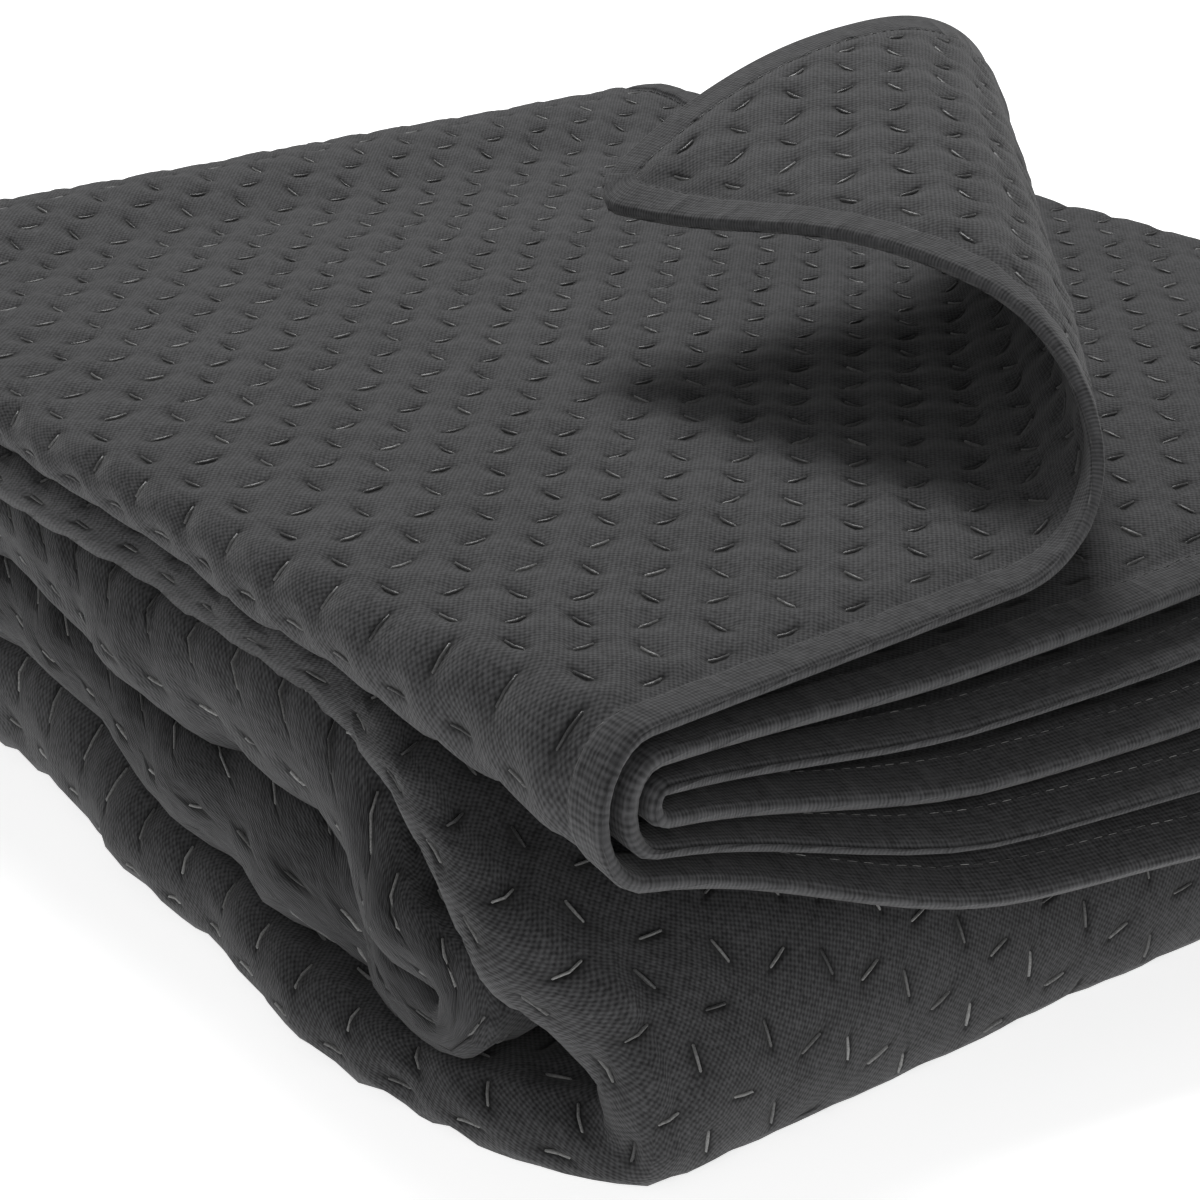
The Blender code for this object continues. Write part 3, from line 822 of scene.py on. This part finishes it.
def stitchMesh(lines, name):
    points, ups, radii, tones, edges = [], [], [], [], []
    chance = np.random.default_rng(21)
    clear = quilting["clearOfEdge"]
    darkest, spread, lower = quilting["tones"]
    for u, v, face, sink, thick, least in lines:
        place, way, shownThere = onCloth(face, u.ravel(), v.ravel())
        place = place.reshape(u.shape + (3,))
        way = way.reshape(u.shape + (3,))
        keep = shownThere.reshape(u.shape).min(axis=1) > least
        keep &= place[..., 2].min(axis=1) > quilting["aboveFloor"]
        inside = (u.min(axis=1) > clear) & (v.min(axis=1) > clear)
        inside &= u.max(axis=1) < plan["u"][-1, 0] - clear
        inside &= v.max(axis=1) < plan["v"][:, -1].min() - clear
        keep &= inside
        for line, up in zip((place - way * sink[:, None])[keep], way[keep]):
            start = len(points)
            points += [tuple(p) for p in line]
            ups += [tuple(p) for p in up]
            radii += list(thick)
            low = smoothStep((0.105 - line[2, 2]) / 0.03)
            tone = darkest + spread * chance.random() ** 3 + low * lower * chance.random() ** 1.3
            tones += [tone] * len(line)
            edges += [(start + k, start + k + 1) for k in range(len(line) - 1)]
    mesh = bpy.data.meshes.new(name)
    points = np.array(points)
    points[:, :2] += shift
    mesh.from_pydata(points.tolist(), edges, [])
    up = mesh.attributes.new("up", "FLOAT_VECTOR", "POINT")
    up.data.foreach_set("vector", np.array(ups, np.float32).ravel())
    toneLayer = mesh.attributes.new("tone", "FLOAT", "POINT")
    toneLayer.data.foreach_set("value", np.array(tones, np.float32))
    radius = mesh.attributes.new("thick", "FLOAT", "POINT")
    radius.data.foreach_set("value", np.array(radii, np.float32))
    return mesh


def threadTree(material):
    # Sweeps a flattened thread along every line of the mesh
    tree = bpy.data.node_groups.new("sewnThread", "GeometryNodeTree")
    tree.interface.new_socket("Geometry", in_out="INPUT", socket_type="NodeSocketGeometry")
    sides = tree.interface.new_socket("Thread sides", in_out="INPUT", socket_type="NodeSocketInt")
    flatness = tree.interface.new_socket("Thread flatness", in_out="INPUT", socket_type="NodeSocketFloat")
    tree.interface.new_socket("Geometry", in_out="OUTPUT", socket_type="NodeSocketGeometry")
    source, sink = tree.nodes.new("NodeGroupInput"), tree.nodes.new("NodeGroupOutput")

    def add(kind, *links, **settings):
        node = tree.nodes.new(kind)
        for key, value in settings.items():
            setattr(node, key, value)
        for output, name in links:
            tree.links.new(output, node.inputs[name])
        return node

    up = add("GeometryNodeInputNamedAttribute", data_type="FLOAT_VECTOR")
    up.inputs["Name"].default_value = "up"
    thick = add("GeometryNodeInputNamedAttribute", data_type="FLOAT")
    thick.inputs["Name"].default_value = "thick"
    curve = add("GeometryNodeMeshToCurve", (source.outputs["Geometry"], "Mesh"))
    facing = add("GeometryNodeSetCurveNormal", (curve.outputs[0], "Curve"))
    facing.mode = "FREE"
    tree.links.new(up.outputs["Attribute"], facing.inputs["Normal"])
    circle = add("GeometryNodeCurvePrimitiveCircle", (source.outputs["Thread sides"], "Resolution"))
    circle.inputs["Radius"].default_value = 1.0
    scale = add("ShaderNodeCombineXYZ", (source.outputs["Thread flatness"], "Y"))
    scale.inputs["X"].default_value = 1.0
    scale.inputs["Z"].default_value = 1.0
    oval = add("GeometryNodeTransform", (circle.outputs["Curve"], "Geometry"), (scale.outputs[0], "Scale"))
    swept = add("GeometryNodeCurveToMesh", (facing.outputs[0], "Curve"), (oval.outputs[0], "Profile Curve"),
                (thick.outputs["Attribute"], "Scale"))
    swept.inputs["Fill Caps"].default_value = True
    smooth = add("GeometryNodeSetShadeSmooth", (swept.outputs[0], "Geometry"))
    real = add("GeometryNodeRealizeInstances", (smooth.outputs[0], "Geometry"))
    painted = add("GeometryNodeSetMaterial", (real.outputs[0], "Geometry"))
    painted.inputs["Material"].default_value = material
    tree.links.new(painted.outputs[0], sink.inputs[0])
    return tree, sides.identifier, flatness.identifier


def sewThread(name, lines, sides):
    material = quiltingThread()
    source = bpy.data.objects.new(name, stitchMesh(lines, name))
    bpy.context.scene.collection.objects.link(source)
    tree, sidesInput, flatnessInput = threadTree(material)
    modifier = source.modifiers.new("sewnThread", "NODES")
    modifier.node_group = tree
    modifier[sidesInput] = sides
    modifier[flatnessInput] = quilting["threadFlatness"]
    evaluated = source.evaluated_get(bpy.context.evaluated_depsgraph_get())
    mesh = bpy.data.meshes.new_from_object(evaluated)
    source.modifiers.clear()
    bpy.data.objects.remove(source)
    piece = bpy.data.objects.new(name, mesh)
    bpy.context.scene.collection.objects.link(piece)
    if not mesh.materials:
        mesh.materials.append(material)
    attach(piece, "root")
    print(name, "sewn:", sum(len(p.vertices) - 2 for p in mesh.polygons), "triangles")
    return piece


bedspread.data.materials.append(charcoalWeave())
plan["normals"] = unitNormals(plan["middle"])
quiltStitches = sewThread("quiltStitches", stitchLines(), 6)
hemStitches = sewThread("hemStitches", hemLines(), 5)
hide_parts("bedspread")
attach(bedspread, "root")

view = {
    "place": (-0.5348, -0.6258, 0.378),
    "facing": (0.639, 0.769),
    "down": math.radians(23.5),
    "lens": 77.6,
}


def addCamera():
    data = bpy.data.cameras.new("photoView")
    data.lens = view["lens"]
    data.sensor_width = 36
    camera = bpy.data.objects.new("photoView", data)
    x, y = view["facing"]
    long = math.hypot(x, y)
    level = math.cos(view["down"])
    direction = Vector((x / long * level, y / long * level, -math.sin(view["down"])))
    camera.location = view["place"]
    camera.rotation_mode = "QUATERNION"
    camera.rotation_quaternion = direction.to_track_quat("-Z", "Y")
    bpy.context.scene.collection.objects.link(camera)
    bpy.context.scene.camera = camera


light = {
    "sky": 0.22,
    "softBox": (0.42, 0.55, 1.55, 0.6, 21),  # x, y, z, size and watts
    "fill": (-1.2, -1.1, 0.8, 0.9, 4),
    "floorGlow": 0.74,
}


def addSoftBox(name, x, y, z, size, power):
    data = bpy.data.lights.new(name, "AREA")
    data.size = size
    data.energy = power
    lamp = bpy.data.objects.new(name, data)
    lamp.location = (x, y, z)
    lamp.rotation_mode = "QUATERNION"
    lamp.rotation_quaternion = (Vector((0, 0, 0.08)) - lamp.location).to_track_quat("-Z", "Y")
    bpy.context.scene.collection.objects.link(lamp)


def addStudio():
    mesh = bpy.data.meshes.new("floor")
    half = 6.0
    rim = [(-half, -half, 0), (half, -half, 0), (half, half, 0), (-half, half, 0)]
    mesh.from_pydata(rim, [], [(0, 1, 2, 3)])
    floor = bpy.data.objects.new("floor", mesh)
    pale = bpy.data.materials.new("paleFloor")
    pale.use_nodes = True
    sockets = pale.node_tree.nodes["Principled BSDF"].inputs
    sockets["Base Color"].default_value = (0.9, 0.9, 0.9, 1)
    sockets["Roughness"].default_value = 0.6
    sockets["Emission Color"].default_value = (1, 1, 1, 1)
    sockets["Emission Strength"].default_value = light["floorGlow"]
    mesh.materials.append(pale)
    bpy.context.scene.collection.objects.link(floor)
    world = bpy.data.worlds.new("paleRoom")
    world.use_nodes = True
    world.node_tree.nodes["Background"].inputs["Color"].default_value = (1, 1, 1, 1)
    world.node_tree.nodes["Background"].inputs["Strength"].default_value = light["sky"]
    bpy.context.scene.world = world
    bpy.context.scene.view_settings.view_transform = "Standard"
    addSoftBox("softBox", *light["softBox"])
    addSoftBox("fill", *light["fill"])


addCamera()
addStudio()
print("camera and studio ready")
